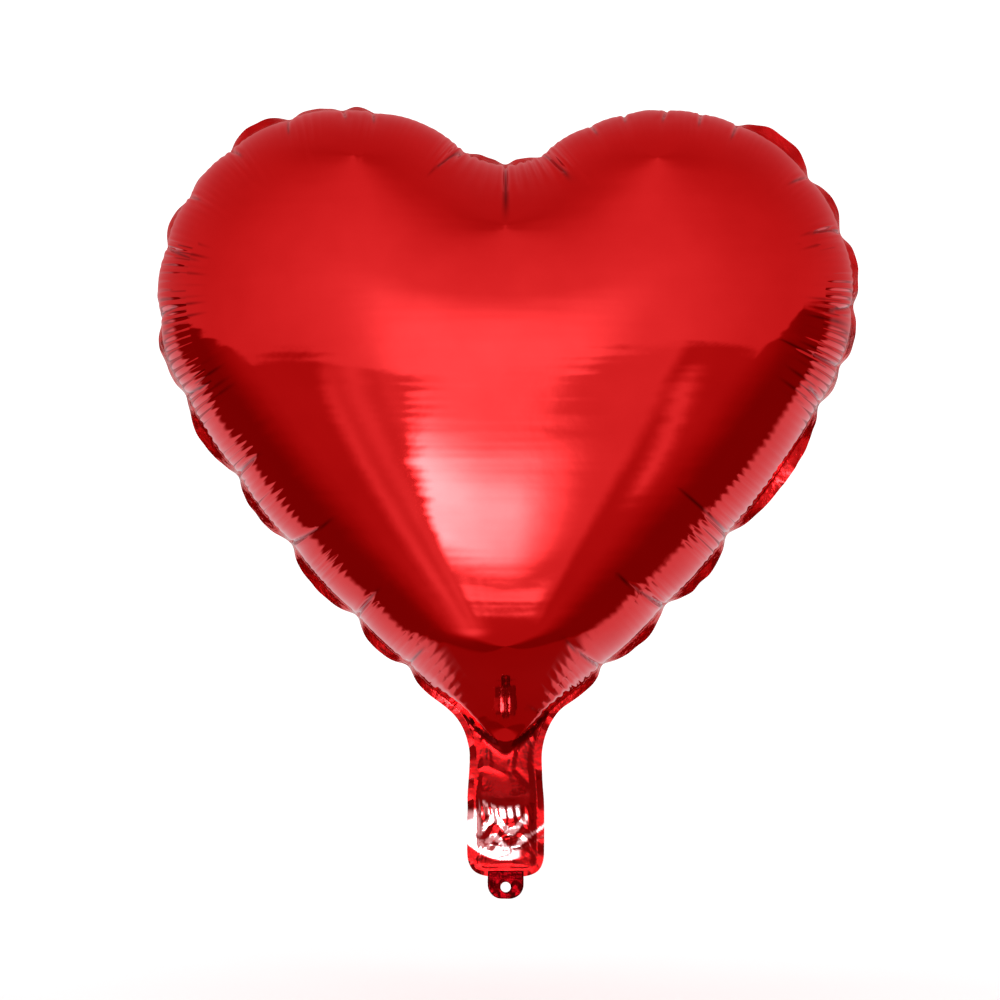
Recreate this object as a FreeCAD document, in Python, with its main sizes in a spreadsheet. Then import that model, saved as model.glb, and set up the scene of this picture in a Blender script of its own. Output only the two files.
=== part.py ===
"""Heart-shaped foil balloon, 18 inch size, inflated.

Frame: +X right, +Y through the balloon from front to rear, +Z up, in millimetres.
The origin is the centre of the tie hole in the tab at the end of the tail.
The two heart panels meet at the seam plane Y = 0; the rear ones are the front ones turned
half a turn about Z. The tail's plies fold against the heart about a line along X at the neck.
"""
import FreeCAD, Part
import math
import os
import Sketcher

from FreeCAD import Vector

SIZES = {
    # Heart outline, to the outer edge of the seam flange.
    "lobe_radius": 102.0,        # round top of each lobe
    "lobe_offset": 84.0,         # lobe centre, left or right of the middle
    "cleft_radius": 34.0,        # hollow between the lobes
    "side_radius": 600.0,        # long flank from lobe to neck
    "side_centre": 345.0,        # centre of a flank's arc, past the middle on the other side
    "flange_width": 5.0,         # sealed strip outside the seam
    "tip_radius": 4.0,           # lower tip of the inflated heart
    # Dome of one panel: a quarter ellipse from the seam up to its crown.
    "dome_depth": 102.0,         # height that the ellipse would reach above the seam plane
    "dome_reach": 130.0,         # distance from the seam at which it would reach it
    "crown_inset": 88.0,         # distance from the seam at which the flat crown starts
    # Films.
    "film": 0.6,                 # foil ply
    "valve_film": 0.2,           # valve ply
    "film_clearance": 0.05,      # between a valve ply and the foil beside it
    # Neck and tail.
    "neck_width": 36.6,
    "neck_fillet": 40.0,         # sweep from the flank into the neck
    "neck_length": 5.7,          # from the fold up to the start of that sweep
    "fold_height": 62.0,         # fold line between heart and tail, above the tie hole
    "fold_gap": 2.0,             # film left out at the fold, so that the tail can turn
    "tail_width": 40.8,
    "tail_flare": 16.0,          # length over which neck width grows to tail width
    "shoulder_height": 5.5,      # lower edge of the tail, above the tie hole
    "shoulder_radius": 7.0,
    "tab_width": 19.0,
    "tab_reach": 6.2,            # lower edge of the tab, below the tie hole
    "tab_radius": 5.0,
    "tie_hole": 5.5,             # diameter
    # Valve strip between the plies.
    "valve_width": 24.0,
    "valve_mouth": 16.0,         # lower end of the strip, above the tie hole
    "valve_reach": 88.0,         # upper end, inside the heart, above the fold
    "valve_side_gap": 0.5,       # recess beyond each side and end of the strip
}
# The heart stands on its neck: the flanks' arcs are placed from the neck's fillets, and the
# lobes from the flanks.
FILLET_HEIGHT = "( fold_height + neck_length )"
FILLET_OFFSET = "( neck_width / 2 + neck_fillet )"
FLANK_HEIGHT = (
    f"( {FILLET_HEIGHT} + sqrt( ( side_radius + neck_fillet ) ^ 2"
    f" - ( side_centre + {FILLET_OFFSET} ) ^ 2 ) )"
)
LOBE_HEIGHT = (
    f"( {FLANK_HEIGHT} - sqrt( ( side_radius - lobe_radius ) ^ 2"
    " - ( side_centre + lobe_offset ) ^ 2 ) )"
)
VALVE_TOP = "( fold_height + valve_reach )"
DOME_SECTIONS = 7                # contours that each dome's loft passes through
START, END, CENTRE = 1, 2, 3     # a sketch element's points
UP_AXIS = -2                     # a sketch's own vertical axis

doc = FreeCAD.newDocument("HeartBalloon")
sheet = doc.addObject("Spreadsheet::Sheet", "Sizes")
for row, (alias, value) in enumerate(SIZES.items(), start=1):
    sheet.set(f"A{row}", alias)
    sheet.set(f"B{row}", str(value))
    sheet.setAlias(f"B{row}", alias)
doc.recompute()


def size(formula):
    """Value of a formula in the sheet's aliases, for a sketch's first geometry."""
    sheet.set("D1", f"={formula}")
    sheet.recompute()
    value = sheet.get("D1")
    return float(getattr(value, "Value", value))


def bound(formula):
    """The same formula as an expression that another object can hold."""
    words = []
    for word in formula.replace("(", "( ").replace(")", " )").split():
        words.append(f"Sizes.{word}" if word in SIZES else word)
    return " ".join(words)


def new_body(name, rear=False):
    body = doc.addObject("PartDesign::Body", name)
    body.Label = name
    if rear:
        half_turn = FreeCAD.Rotation(Vector(0, 0, 1), 180)
        body.Placement = FreeCAD.Placement(Vector(0, 0, 0), half_turn)
    return body


def new_sketch(body, name, height="0"):
    """Sketch in the XZ plane, or in front of it by the height formula (towards -Y)."""
    sketch = body.newObject("Sketcher::SketchObject", name)
    plane = next(f for f in body.Origin.OriginFeatures if f.Role == "XZ_Plane")
    sketch.AttachmentSupport = (plane, [""])
    sketch.MapMode = "FlatFace"
    if height != "0":
        sketch.setExpression("AttachmentOffset.Base.z", bound(height))
    return sketch


def hold(sketch, name, formula, kind, *where):
    """Add one dimension to a sketch and bind it to the sheet."""
    value = size(formula)
    if kind in ("DistanceX", "DistanceY"):
        where = (-1, START, *where) if value >= 0 else (*where, -1, START)
        formula = formula if value >= 0 else f"-1 * ( {formula} )"
    index = sketch.addConstraint(Sketcher.Constraint(kind, *where, abs(value)))
    sketch.renameConstraint(index, name)
    sketch.setExpression(f"Constraints.{name}", bound(formula))


def join(sketch, kind, *where):
    sketch.addConstraint(Sketcher.Constraint(kind, *where))


def mirrored(point):
    return Vector(-point.x, point.y, 0)


def add_arc(sketch, centre, radius, start, end):
    """Anticlockwise arc between the directions of two other points from its centre."""
    angles = [math.atan2(p.y - centre.y, p.x - centre.x) for p in (start, end)]
    if angles[1] < angles[0]:
        angles[1] += 2 * math.pi
    circle = Part.Circle(centre, Vector(0, 0, 1), radius)
    return sketch.addGeometry(Part.ArcOfCircle(circle, *angles), False)


def add_heart(sketch, inset, foot):
    """Cleft, lobes and flanks of the heart, inset by a formula from the flange's edge.

    foot is the centre of the arc that the right flank runs into. Returns the arcs' numbers:
    cleft, right lobe, left lobe, right flank, left flank.
    """
    gap = size(inset)
    lobe_r = size("lobe_radius") - gap
    cleft_r = size("cleft_radius") + gap
    side_r = size("side_radius") - gap
    lobe, flank, cleft = lobe_centre(), flank_centre(), cleft_centre()
    far = lobe * 2 - flank
    cleft_arc = add_arc(sketch, cleft, cleft_r, mirrored(lobe), lobe)
    right_lobe = add_arc(sketch, lobe, lobe_r, far, cleft)
    left_lobe = add_arc(sketch, mirrored(lobe), lobe_r, cleft, mirrored(far))
    right_side = add_arc(sketch, flank, side_r, foot, lobe)
    left_side = add_arc(sketch, mirrored(flank), side_r, mirrored(lobe), mirrored(foot))
    join(sketch, "Tangent", cleft_arc, END, right_lobe, END)
    join(sketch, "Tangent", cleft_arc, START, left_lobe, START)
    join(sketch, "Tangent", right_lobe, START, right_side, END)
    join(sketch, "Tangent", left_lobe, END, left_side, START)
    hold(sketch, "lobe_x", "lobe_offset", "DistanceX", right_lobe, CENTRE)
    hold(sketch, "lobe_z", LOBE_HEIGHT, "DistanceY", right_lobe, CENTRE)
    join(sketch, "Symmetric", right_lobe, CENTRE, left_lobe, CENTRE, UP_AXIS)
    hold(sketch, "lobe_r", f"lobe_radius - ( {inset} )", "Radius", right_lobe)
    join(sketch, "Equal", right_lobe, left_lobe)
    hold(sketch, "cleft_r", f"cleft_radius + ( {inset} )", "Radius", cleft_arc)
    hold(sketch, "side_r", f"side_radius - ( {inset} )", "Radius", right_side)
    hold(sketch, "side_x", "-1 * side_centre", "DistanceX", right_side, CENTRE)
    join(sketch, "Equal", right_side, left_side)
    hold(sketch, "other_side_x", "side_centre", "DistanceX", left_side, CENTRE)
    return cleft_arc, right_lobe, left_lobe, right_side, left_side


def lobe_centre():
    return Vector(size("lobe_offset"), size(LOBE_HEIGHT), 0)


def flank_centre():
    return Vector(-size("side_centre"), size(FLANK_HEIGHT), 0)


def cleft_centre():
    lobe = lobe_centre()
    between = size("lobe_radius + cleft_radius")
    return Vector(0, lobe.y + math.sqrt(between**2 - lobe.x**2), 0)


def dome_contour(body, name, inset, height):
    """Closed heart with a round tip: one section of a dome."""
    sketch = new_sketch(body, name, height)
    flank = flank_centre()
    tip_r = size("tip_radius")
    reach = size(f"side_radius - ( {inset} )") - tip_r
    tip = Vector(0, flank.y - math.sqrt(reach**2 - flank.x**2), 0)
    below = tip * 2 - flank
    arcs = add_heart(sketch, inset, tip)
    tip_arc = add_arc(sketch, tip, tip_r, mirrored(below), below)
    join(sketch, "Tangent", arcs[3], START, tip_arc, END)
    join(sketch, "Tangent", arcs[4], END, tip_arc, START)
    hold(sketch, "tip_r", "tip_radius", "Radius", tip_arc)
    return sketch


def flange_outline(body, name):
    """Heart to the flange's edge, swept into the neck and cut off above the fold."""
    sketch = new_sketch(body, name)
    flank = flank_centre()
    fillet_r = size("neck_fillet")
    fillet = Vector(size(FILLET_OFFSET), size(FILLET_HEIGHT), 0)
    neck = Vector(fillet.x - fillet_r, fillet.y, 0)
    corner = Vector(neck.x, size("fold_height + fold_gap / 2"), 0)
    arcs = add_heart(sketch, "0", fillet)
    right_fillet = add_arc(sketch, fillet, fillet_r, flank, neck)
    left_fillet = add_arc(sketch, mirrored(fillet), fillet_r, mirrored(neck), mirrored(flank))
    right_neck = sketch.addGeometry(Part.LineSegment(neck, corner), False)
    bottom = sketch.addGeometry(Part.LineSegment(corner, mirrored(corner)), False)
    left_neck = sketch.addGeometry(Part.LineSegment(mirrored(corner), mirrored(neck)), False)
    join(sketch, "Tangent", arcs[3], START, right_fillet, START)
    join(sketch, "Tangent", arcs[4], END, left_fillet, END)
    join(sketch, "Tangent", right_fillet, END, right_neck, START)
    join(sketch, "Tangent", left_fillet, START, left_neck, END)
    join(sketch, "Coincident", right_neck, END, bottom, START)
    join(sketch, "Coincident", bottom, END, left_neck, START)
    join(sketch, "Vertical", right_neck)
    join(sketch, "Vertical", left_neck)
    hold(sketch, "fillet_r", "neck_fillet", "Radius", right_fillet)
    join(sketch, "Equal", right_fillet, left_fillet)
    hold(sketch, "neck_x", "neck_width / 2", "DistanceX", right_neck, END)
    join(sketch, "Symmetric", right_neck, END, left_neck, START, UP_AXIS)
    hold(sketch, "neck_z", "fold_height + fold_gap / 2", "DistanceY", right_neck, END)
    return sketch


def mirrored_polygon(body, name, corners, height="0"):
    """Polygon symmetric about the middle, from its right-hand corners as formulas."""
    sketch = new_sketch(body, name, height)
    right = [Vector(size(across), size(up), 0) for across, up in corners]
    points = right + [mirrored(point) for point in reversed(right)]
    count = len(points)
    for index, point in enumerate(points):
        sketch.addGeometry(Part.LineSegment(point, points[(index + 1) % count]), False)
    for index in range(count):
        join(sketch, "Coincident", index, END, (index + 1) % count, START)
    for index, (across, up) in enumerate(corners):
        hold(sketch, f"across_{index}", across, "DistanceX", index, START)
        hold(sketch, f"up_{index}", up, "DistanceY", index, START)
        join(sketch, "Symmetric", index, START, count - 1 - index, START, UP_AXIS)
    return sketch


def pad(body, name, sketch, length):
    feature = body.newObject("PartDesign::Pad", name)
    feature.Profile = sketch
    feature.setExpression("Length", bound(length))
    return feature


def pocket(body, name, sketch, depth):
    """Cut a pocket from the seam plane towards the outside, and check that it cuts."""
    doc.recompute()
    before = body.Shape.Volume
    feature = body.newObject("PartDesign::Pocket", name)
    feature.Profile = sketch
    feature.Reversed = True
    feature.setExpression("Length", bound(depth))
    doc.recompute()
    if body.Shape.Volume >= before:
        raise RuntimeError(f"{name} cut nothing")


def loft(body, kind, name, sections):
    feature = body.newObject(f"PartDesign::{kind}Loft", name)
    feature.Profile = sections[0]
    feature.Sections = sections[1:]


def dome_sections(body, name, wall):
    """Contours up a quarter ellipse, from the seam to the crown; wall is a formula."""
    crown = "acos( 1 - crown_inset / dome_reach )"
    sections = []
    for step in range(DOME_SECTIONS):
        angle = f"{crown} * {step} / {DOME_SECTIONS - 1}"
        inset = f"flange_width + dome_reach - ( dome_reach - {wall} ) * cos( {angle} )"
        height = f"( dome_depth - {wall} ) * sin( {angle} )"
        sections.append(dome_contour(body, f"{name}_{step}", inset, height))
    return sections


def heart_panel(name, rear):
    """One foil panel: flange and dome, with a recess for the valve through the neck."""
    body = new_body(name, rear)
    pad(body, f"{name}_flange", flange_outline(body, f"{name}_outline"), "film")
    loft(body, "Additive", f"{name}_dome", dome_sections(body, f"{name}_outer", "0"))
    loft(body, "Subtractive", f"{name}_cavity", dome_sections(body, f"{name}_inner", "film"))
    half_width = "valve_width / 2 + valve_side_gap"
    recess = mirrored_polygon(body, f"{name}_recess_outline", [
        (half_width, "fold_height"),
        (half_width, f"{VALVE_TOP} + valve_side_gap"),
    ])
    pocket(body, f"{name}_recess", recess, "valve_film + film_clearance")
    return body


def round_corners(body, name, radius, places):
    """Fillet the upright edges that stand at the given X and Z, either side of the middle."""
    doc.recompute()
    places = [(size(across), size(up)) for across, up in places]
    edges = []
    for number, edge in enumerate(body.Shape.Edges, start=1):
        first, last = edge.Vertexes[0].Point, edge.Vertexes[-1].Point
        upright = abs(first.y - last.y) > size("film") / 2
        near = any(math.hypot(abs(first.x) - x, first.z - z) < 0.01 for x, z in places)
        if upright and near:
            edges.append(f"Edge{number}")
    if len(edges) != 2 * len(places):
        raise RuntimeError(f"{name} found {len(edges)} edges")
    rounded = body.Tip
    feature = body.newObject("PartDesign::Fillet", name)
    feature.Base = (rounded, edges)
    feature.setExpression("Radius", bound(radius))


def tail_ply(name, rear):
    """One foil ply of the tail and its tab, with the tie hole and the valve's recess."""
    body = new_body(name, rear)
    outline = mirrored_polygon(body, f"{name}_outline", [
        ("neck_width / 2", "fold_height - fold_gap / 2"),
        ("tail_width / 2", "fold_height - fold_gap / 2 - tail_flare"),
        ("tail_width / 2", "shoulder_height"),
        ("tab_width / 2", "shoulder_height"),
        ("tab_width / 2", "-1 * tab_reach"),
    ])
    pad(body, f"{name}_pad", outline, "film")
    round_corners(body, f"{name}_shoulders", "shoulder_radius", [("tail_width / 2", "shoulder_height")])
    round_corners(body, f"{name}_tab_corners", "tab_radius", [("tab_width / 2", "-1 * tab_reach")])
    hole = new_sketch(body, f"{name}_hole_outline")
    hole.addGeometry(Part.Circle(Vector(0, 0, 0), Vector(0, 0, 1), size("tie_hole / 2")), False)
    join(hole, "Coincident", 0, CENTRE, -1, START)
    hold(hole, "hole_r", "tie_hole / 2", "Radius", 0)
    pocket(body, f"{name}_hole", hole, "film * 2")
    recess = mirrored_polygon(body, f"{name}_recess_outline", [
        ("valve_width / 2 + valve_side_gap", "valve_mouth - valve_side_gap"),
        ("valve_width / 2 + valve_side_gap", "fold_height"),
    ])
    pocket(body, f"{name}_recess", recess, "valve_film + film_clearance")
    return body


def valve_ply(name, rear, low, high):
    """One ply of the self-sealing valve, a strip between two heights."""
    body = new_body(name, rear)
    outline = mirrored_polygon(body, f"{name}_outline", [
        ("valve_width / 2", low),
        ("valve_width / 2", high),
    ])
    pad(body, f"{name}_pad", outline, "valve_film")
    return body


def check_model(bodies):
    """Stop if any object failed, a sketch is loose, or a sub-part isn't one valid solid."""
    for item in doc.Objects:
        if any(state in ("Invalid", "Error") for state in item.State):
            raise RuntimeError(f"{item.Name}: {item.State}")
        if item.isDerivedFrom("Sketcher::SketchObject") and not item.FullyConstrained:
            raise RuntimeError(f"{item.Name} isn't fully constrained")
    for body in bodies:
        shape = body.Shape
        if shape.isNull() or not shape.isValid() or len(shape.Solids) != 1:
            raise RuntimeError(f"{body.Label} isn't one valid solid")


def main():
    bodies = []
    for side, rear in (("front", False), ("rear", True)):
        bodies.append(heart_panel(f"{side}_panel", rear))
        bodies.append(valve_ply(f"valve_sleeve_{side}", rear, "fold_height + fold_gap / 2", VALVE_TOP))
        bodies.append(tail_ply(f"tail_{side}_ply", rear))
        bodies.append(valve_ply(f"valve_inlet_{side}", rear, "valve_mouth", "fold_height - fold_gap / 2"))
    doc.recompute()
    check_model(bodies)
    os.makedirs("parts", exist_ok=True)
    for body in bodies:
        body.Shape.exportStep(f"parts/{body.Label}.step")
        box = body.Shape.BoundBox
        print(f"{body.Label}: {body.Shape.Volume:.0f} mm3, X {box.XMin:.1f} to {box.XMax:.1f}, "
              f"Y {box.YMin:.1f} to {box.YMax:.1f}, Z {box.ZMin:.1f} to {box.ZMax:.1f}")


main()
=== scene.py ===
import math

import bpy
import numpy as np
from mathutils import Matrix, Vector
from mathutils.geometry import delaunay_2d_cdt


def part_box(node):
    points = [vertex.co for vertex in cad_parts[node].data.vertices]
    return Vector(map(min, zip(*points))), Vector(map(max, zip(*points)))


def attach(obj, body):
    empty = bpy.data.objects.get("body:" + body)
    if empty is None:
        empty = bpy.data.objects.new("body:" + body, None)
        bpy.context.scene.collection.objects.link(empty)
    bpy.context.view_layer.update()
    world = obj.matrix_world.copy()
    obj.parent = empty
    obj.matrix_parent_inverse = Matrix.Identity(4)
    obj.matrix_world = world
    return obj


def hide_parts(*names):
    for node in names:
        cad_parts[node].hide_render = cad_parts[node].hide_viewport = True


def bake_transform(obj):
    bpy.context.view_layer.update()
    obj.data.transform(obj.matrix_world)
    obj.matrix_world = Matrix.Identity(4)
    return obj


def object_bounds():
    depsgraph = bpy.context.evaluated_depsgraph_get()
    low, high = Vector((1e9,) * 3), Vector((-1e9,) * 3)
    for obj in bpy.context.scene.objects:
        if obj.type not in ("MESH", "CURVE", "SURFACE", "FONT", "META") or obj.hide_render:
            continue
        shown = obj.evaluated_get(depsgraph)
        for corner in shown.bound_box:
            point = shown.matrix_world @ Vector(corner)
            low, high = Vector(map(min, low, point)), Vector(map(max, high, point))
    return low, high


# Heart-shaped foil balloon. Lengths are in millimetres until a mesh is made, in the frame's
# axes: +X right, +Y to the rear, +Z up, origin at the tie hole. A seam runs round the balloon
# in the plane Y = 0; each film is built as rings that follow it inwards and a plain middle.

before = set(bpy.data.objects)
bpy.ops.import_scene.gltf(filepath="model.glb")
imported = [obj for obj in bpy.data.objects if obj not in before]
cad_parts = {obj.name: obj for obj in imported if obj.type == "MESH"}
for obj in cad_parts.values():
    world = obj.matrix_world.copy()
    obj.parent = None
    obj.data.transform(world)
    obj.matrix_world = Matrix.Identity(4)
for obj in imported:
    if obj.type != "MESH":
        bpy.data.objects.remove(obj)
cad_low, cad_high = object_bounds()
MM = 0.001
panel_low, panel_high = [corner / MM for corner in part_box("front_panel")]
tail_low, tail_high = [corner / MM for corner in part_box("tail_front_ply")]
inlet_low, inlet_high = [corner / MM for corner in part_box("valve_inlet_front")]
sleeve_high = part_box("valve_sleeve_front")[1] / MM

# Outline of the flange's outer edge, as in the CAD panel.
LOBE_RADIUS = 102.0
LOBE_X = panel_high.x - LOBE_RADIUS
LOBE_Z = panel_high.z - LOBE_RADIUS
CLEFT_RADIUS = 34.0
FLANK_RADIUS = 600.0
FLANK_X = 345.0
NECK_HALF = 18.3
NECK_SWEEP = 40.0
FOLD_Z = (panel_low.z + tail_high.z) / 2
TAIL_HALF = tail_high.x
TAIL_FLARE = 16.0
SHOULDER_Z = 5.5
SHOULDER_RADIUS = 7.0

TIP_Z = FOLD_Z + 5.5         # lower tip of the inflated dome
TIP_RADIUS = 7.0
DOME_LEAVES_Z = FOLD_Z + 47  # where the dome's edge leaves the flange's sweep into the neck
SEAM_INSET = 3.0             # seam inside that outline, around the heart
TAIL_SEAM_INSET = 3.6        # and down the tail
RAY_STEP = 0.75              # spacing of the rays that run inwards from the seam
FINE_RINGS = 30
COARSE_RINGS = 14
FINE_SHARE = 0.66            # share of the rings' depth where every ray is kept
RING_DEPTH = 36.0            # how far the rings reach in from the seam, at most
MIDDLE_STEP = 3.0            # spacing of the plain middle's points
TAIL_STEP = 0.75
FLANGE_RINGS = 5
FLANGE_WIDTH = 6.4
PLY_GAP = 0.12               # each ply's distance from the middle of the flange
TAIL_GAP = 0.25              # and beside the valve in the tail
FLAT_DEPTH = 5.5             # film this near the seam's plane, in the neck, counts as flat

PROBE_INSET = 5.0            # beyond it, distances to the dome's edge are measured afresh
CLOSING_WIDTH = 0.8          # the two films part over this width beside the heart's seam
LAYING_WIDTH = 4.0           # and come to TAIL_GAP over this width beside the tail's

GATHER_PERIOD = 4.6          # spacing of the fine gathers, which doubles far from the seam
COMB_PERIOD = 3.9            # spacing of the painted shade lines beside the creases
GATHER_HEIGHT = 0.64
PILLOW_BULGE = 2.2           # of a pillow of this length along the seam:
PILLOW_LENGTH = 45.0
CREASE_WIDTH = 0.9           # at the seam; it grows inwards
CREASE_WIDENING = 0.016
BAND_CURVE = 0.020           # how much the tail's curved folds and painted highlights rise towards its sides
CLEFT_CREASE_REACH = 70.0

# Heights between which the flat neck turns into the inflated heart.
NECK_FLAT_Z = FOLD_Z + 20
NECK_FULL_Z = FOLD_Z + 48
FLANGE_NARROW_Z = FOLD_Z + 30
FLANGE_WIDE_Z = FOLD_Z + 60

DOME_DEPTH = 102.0
DOME_REACH = 130.0
FRONT = -1
REAR = 1

# One row for each pillow between two creases, from the cleft down to the neck: its length
# along the seam, how far the crease at its lower end runs into the film, and how much of its
# flange stands outwards, from 0 for folded back to 1 for straight out.
RIGHT_PILLOWS = [
    (19, 60, 0.45), (31, 34, 0.0), (19, 30, 0.0), (23, 36, 0.1), (18, 38, 0.0),
    (20, 42, 0.05), (48, 46, 0.95), (34, 60, 0.6), (38, 48, 0.7), (33, 84, 0.6),
    (22, 44, 0.4), (85, 80, 1.0), (49, 78, 0.8), (47, 66, 0.7), (37, 48, 0.7),
]
LEFT_PILLOWS = [
    (22, 60, 0.45), (55, 34, 0.0), (16, 32, 0.4), (28, 40, 0.4), (36, 38, 0.75),
    (33, 36, 0.15), (28, 58, 0.4), (39, 44, 0.1), (43, 46, 0.4), (50, 52, 0.75),
    (45, 66, 0.65), (53, 56, 0.75), (37, 46, 0.75), (49, 44, 0.7),
]


def smoothstep(low, high, value):
    """0 at low and 1 at high, smoothly; low may be the larger, for a fall."""
    share = np.clip((value - low) / (high - low), 0.0, 1.0)
    return share * share * (3.0 - 2.0 * share)


def wavy(position, period, length, seed):
    """Smooth noise about 0, roughly -1 to 1, along a loop of that length."""
    rng = np.random.default_rng(seed)
    total = np.zeros_like(position)
    count = max(3, int(length / period))
    for harmonic in rng.integers(1, count + 1, 14):
        total += np.cos(2 * math.pi * harmonic * position / length + rng.uniform(0, 2 * math.pi))
    return total / 3.2


def arc(centre, radius, start, end):
    """Points along an arc in the XZ plane."""
    count = max(3, int(abs(end - start) * radius / 0.2))
    angles = np.linspace(start, end, count)
    return np.stack([centre[0] + radius * np.cos(angles), centre[1] + radius * np.sin(angles)], 1)


def outline_centres():
    """Heights of the cleft's and flank's centres, and the neck sweep's centre."""
    cleft_z = LOBE_Z + math.sqrt((LOBE_RADIUS + CLEFT_RADIUS) ** 2 - LOBE_X**2)
    flank_z = LOBE_Z + math.sqrt((FLANK_RADIUS - LOBE_RADIUS) ** 2 - (FLANK_X + LOBE_X) ** 2)
    sweep_x = NECK_HALF + NECK_SWEEP
    reach = FLANK_RADIUS + NECK_SWEEP
    sweep_z = flank_z - math.sqrt(reach**2 - (FLANK_X + sweep_x) ** 2)
    return cleft_z, flank_z, (sweep_x, sweep_z)


def heart_arcs(flank_end):
    """Cleft, lobe and flank of the right half; the flank's arc stops at the given angle."""
    cleft_z, flank_z, _ = outline_centres()
    to_lobe = math.atan2(LOBE_Z - cleft_z, LOBE_X)
    to_cleft = math.atan2(cleft_z - LOBE_Z, -LOBE_X)
    lobe_end = math.atan2(LOBE_Z - flank_z, FLANK_X + LOBE_X)
    return [
        arc((0, cleft_z), CLEFT_RADIUS + SEAM_INSET, -math.pi / 2, to_lobe),
        arc((LOBE_X, LOBE_Z), LOBE_RADIUS - SEAM_INSET, to_cleft, lobe_end),
        arc((-FLANK_X, flank_z), FLANK_RADIUS - SEAM_INSET, lobe_end, flank_end),
    ]


def right_seam():
    """The seam's right half, from the middle of the cleft to the middle of the tail's end."""
    _, flank_z, (sweep_x, sweep_z) = outline_centres()
    flank_end = math.atan2(sweep_z - flank_z, FLANK_X + sweep_x)
    sweep_start = math.atan2(flank_z - sweep_z, -FLANK_X - sweep_x)
    tail_x = TAIL_HALF - TAIL_SEAM_INSET
    corner = SHOULDER_RADIUS - TAIL_SEAM_INSET
    end_z = SHOULDER_Z + TAIL_SEAM_INSET
    return np.concatenate(heart_arcs(flank_end) + [
        arc((sweep_x, sweep_z), NECK_SWEEP + SEAM_INSET, sweep_start, math.pi),
        np.array([[tail_x, FOLD_Z - TAIL_FLARE]]),
        arc((tail_x - corner, end_z + corner), corner, 0, -math.pi / 2),
        np.array([[0.0, end_z]]),
    ])


def right_dome():
    """The inflated dome's right half: as the seam, but closed to a blunt tip above the neck."""
    _, flank_z, _ = outline_centres()
    leaves = math.asin((DOME_LEAVES_Z - flank_z) / (FLANK_RADIUS - SEAM_INSET))
    turn = arc((0, TIP_Z + TIP_RADIUS), TIP_RADIUS, -0.7, -math.pi / 2)
    return np.concatenate(heart_arcs(leaves) + [turn])


def both_halves(right):
    """A closed outline: its right half and, going back, the mirrored left one."""
    return np.concatenate([right, (right * [-1, 1])[::-1]])


def resampled(points, count):
    """The same closed loop with evenly spaced points."""
    closed = np.concatenate([points, points[:1]])
    steps = np.hypot(*np.diff(closed, axis=0).T)
    along = np.concatenate([[0.0], np.cumsum(steps)])
    wanted = np.arange(count) * along[-1] / count
    loop = np.stack([np.interp(wanted, along, closed[:, axis]) for axis in (0, 1)], 1)
    return loop, along[-1]


def loop_blur(values, sigma):
    """Blur values round a loop; sigma is in points."""
    reach = int(3 * sigma) + 1
    weights = np.exp(-0.5 * (np.arange(-reach, reach + 1) / sigma) ** 2)
    weights /= weights.sum()
    blurred = np.zeros_like(values)
    for offset, weight in zip(range(-reach, reach + 1), weights):
        blurred += weight * np.roll(values, offset, axis=0)
    return blurred


def seam_line():
    """The whole seam: points, inward directions, length and depth to which rays may run."""
    rough, length = resampled(both_halves(right_seam()), 4000)
    count = 4 * int(length / RAY_STEP / 4)
    points, length = resampled(loop_blur(rough, 4.0), count)
    ahead = np.roll(points, -1, axis=0) - np.roll(points, 1, axis=0)
    ahead /= np.hypot(*ahead.T)[:, None]
    inward = np.stack([ahead[:, 1], -ahead[:, 0]], 1)
    room = np.full(count, RING_DEPTH / 0.72)
    for index in range(count):
        apart = points - points[index]
        towards = apart @ inward[index]
        squared = (apart**2).sum(1)
        facing = (towards > 1e-3) & (squared > 4.0)
        if facing.any():
            room[index] = min(room[index], (squared[facing] / (2 * towards[facing])).min())
    depth = room * (0.56 + 0.16 * smoothstep(FOLD_Z + 56, FOLD_Z + 120, points[:, 1]))
    for _ in range(6):
        depth = np.minimum(depth, np.minimum(np.roll(depth, 6), np.roll(depth, -6)) + 1.2)
    depth = loop_blur(depth, 6.0)
    along = np.arange(count) * length / count
    return {"points": points, "inward": inward, "length": length, "along": along, "depth": depth}


def inside_loop(points, loop):
    """Which points lie inside a closed loop, by counting crossings."""
    after = np.roll(loop, -1, axis=0)
    result = np.zeros(len(points), bool)
    for (x0, z0), (x1, z1) in zip(loop, after):
        if z0 == z1:
            continue
        between = (points[:, 1] > min(z0, z1)) & (points[:, 1] <= max(z0, z1))
        crossing = x0 + (points[:, 1] - z0) * (x1 - x0) / (z1 - z0)
        result ^= between & (points[:, 0] < crossing)
    return result


seam = seam_line()
dome_edge = resampled(both_halves(right_dome()), 1800)[0]


def smooth_distance(points):
    """Distance in from the dome's edge, rounded off where two stretches are equally far."""
    line = dome_edge
    step = np.hypot(*(line[1] - line[0]))
    result = np.empty(len(points))
    for start in range(0, len(points), 4000):
        part = points[start:start + 4000]
        across = part[:, None, 0] - line[None, :, 0]
        up = part[:, None, 1] - line[None, :, 1]
        pull = (across**2 + up**2 + 1e-4) ** -1.5
        result[start:start + 4000] = np.sqrt(2.0 / (step * pull.sum(1)))
    low = points[:, 1] < DOME_LEAVES_Z + 10
    result[low] *= inside_loop(points[low], line)
    return result


MOST_DISTANCE = smooth_distance(np.array([[0.0, z] for z in range(220, 330, 5)])).max()


def fullness(z):
    """How much of the dome's height is left towards the neck, where the heart is narrow."""
    return smoothstep(TIP_Z - 6, FOLD_Z + 76, z) ** 0.85


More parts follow.
